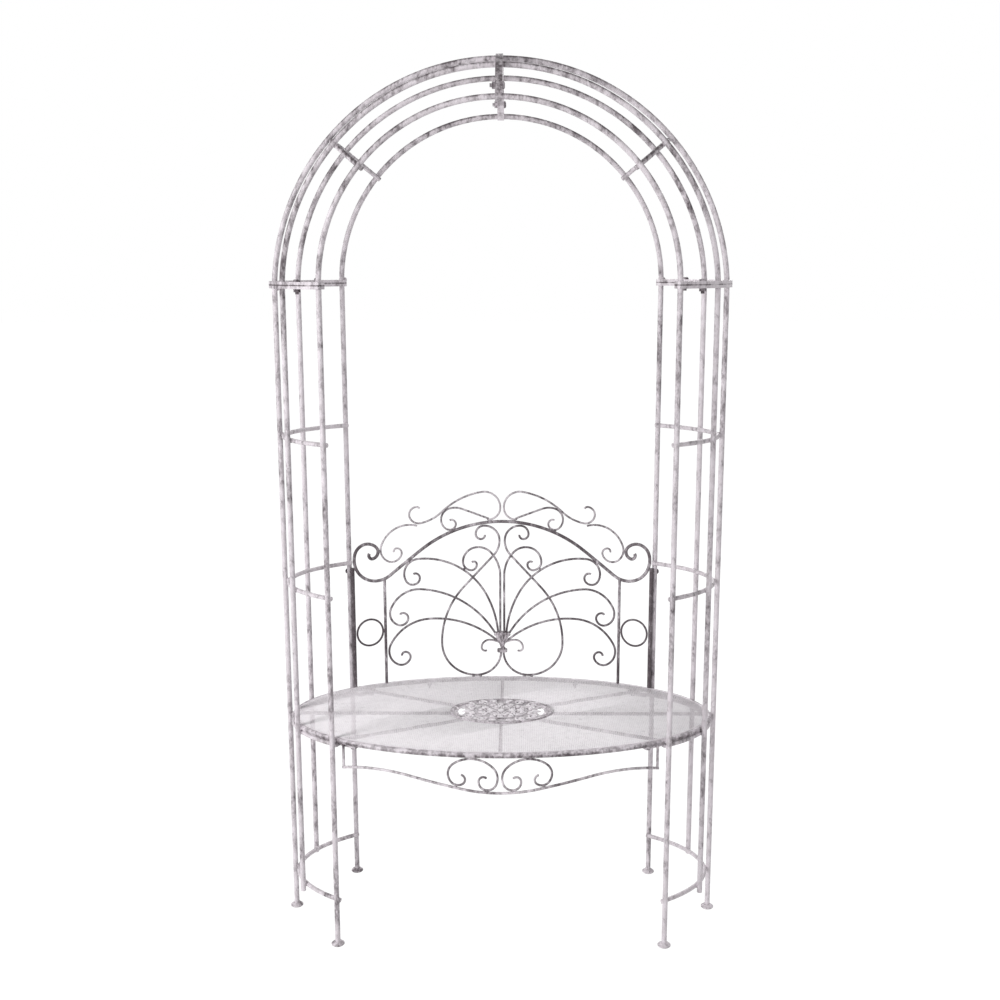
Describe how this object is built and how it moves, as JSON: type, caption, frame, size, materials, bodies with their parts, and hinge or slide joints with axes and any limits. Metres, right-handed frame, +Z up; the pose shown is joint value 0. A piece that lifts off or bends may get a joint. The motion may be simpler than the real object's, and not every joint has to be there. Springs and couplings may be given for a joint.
{
  "type": "garden arch bench",
  "caption": "Round-topped metal trellis arch with an oval mesh bench, a scrollwork backrest and apron set between its side panels.",
  "frame": {"origin": "on the ground, under the middle of the seat", "axes": "+X to the right seen from the front, -Y to the front, +Z up"},
  "size_m": [1.03, 0.5156, 1.977],
  "materials": {
    "frame": "pale grey-lilac paint brushed over dark primer, distressed",
    "scrollwork": "the same paint rubbed further back to the dark primer",
    "rails": "the same paint partly rubbed back to the dark primer",
    "seat_panel": "pale grey-lilac paint on fine metal mesh",
    "hardware": "dark painted bolts and nuts",
    "feet": "distressed pale paint, scuffed at the ground"
  },
  "bodies": {
    "root": {"apron_posts": "rails", "apron_rail": "rails", "apron_scrolls": "scrollwork", "back_bolts": "hardware", "back_posts": "scrollwork", "back_slats": "scrollwork", "calyx": "rails", "collar": "rails", "crest_curls": "rails", "crest_scrolls": "rails", "fan_centre": "scrollwork", "fan_high": "scrollwork", "fan_low": "scrollwork", "fan_mid": "scrollwork", "feet": "feet", "flange_bolts": "hardware", "flange_nuts": "hardware", "heart_loops": "scrollwork", "left_arch_flange": "frame", "left_back_ring": "frame", "left_cross_bar": "frame", "left_crown_bar": "frame", "left_foot_ring": "frame", "left_front_hoop": "frame", "left_front_leg": "frame", "left_infill_hoops": "frame", "left_infill_rods": "frame", "left_middle_hoop": "frame", "left_middle_leg": "frame", "left_panel_flange": "frame", "left_rear_hoop": "frame", "left_rear_leg": "frame", "left_seat_ring": "frame", "left_upper_ring": "frame", "right_arch_flange": "frame", "right_back_ring": "frame", "right_cross_bar": "frame", "right_crown_bar": "frame", "right_foot_ring": "frame", "right_front_hoop": "frame", "right_front_leg": "frame", "right_infill_hoops": "frame", "right_infill_rods": "frame", "right_middle_hoop": "frame", "right_middle_leg": "frame", "right_panel_flange": "frame", "right_rear_hoop": "frame", "right_rear_leg": "frame", "right_seat_ring": "frame", "right_upper_ring": "frame", "ring_tabs": "frame", "seat_bolts": "hardware", "seat_mesh": "seat_panel", "seat_ribs": "frame", "seat_rim": "frame", "seat_rosette": "seat_panel", "seat_tabs": "frame", "side_rings": "scrollwork", "top_rail": "rails"}
  },
  "joints": []
}
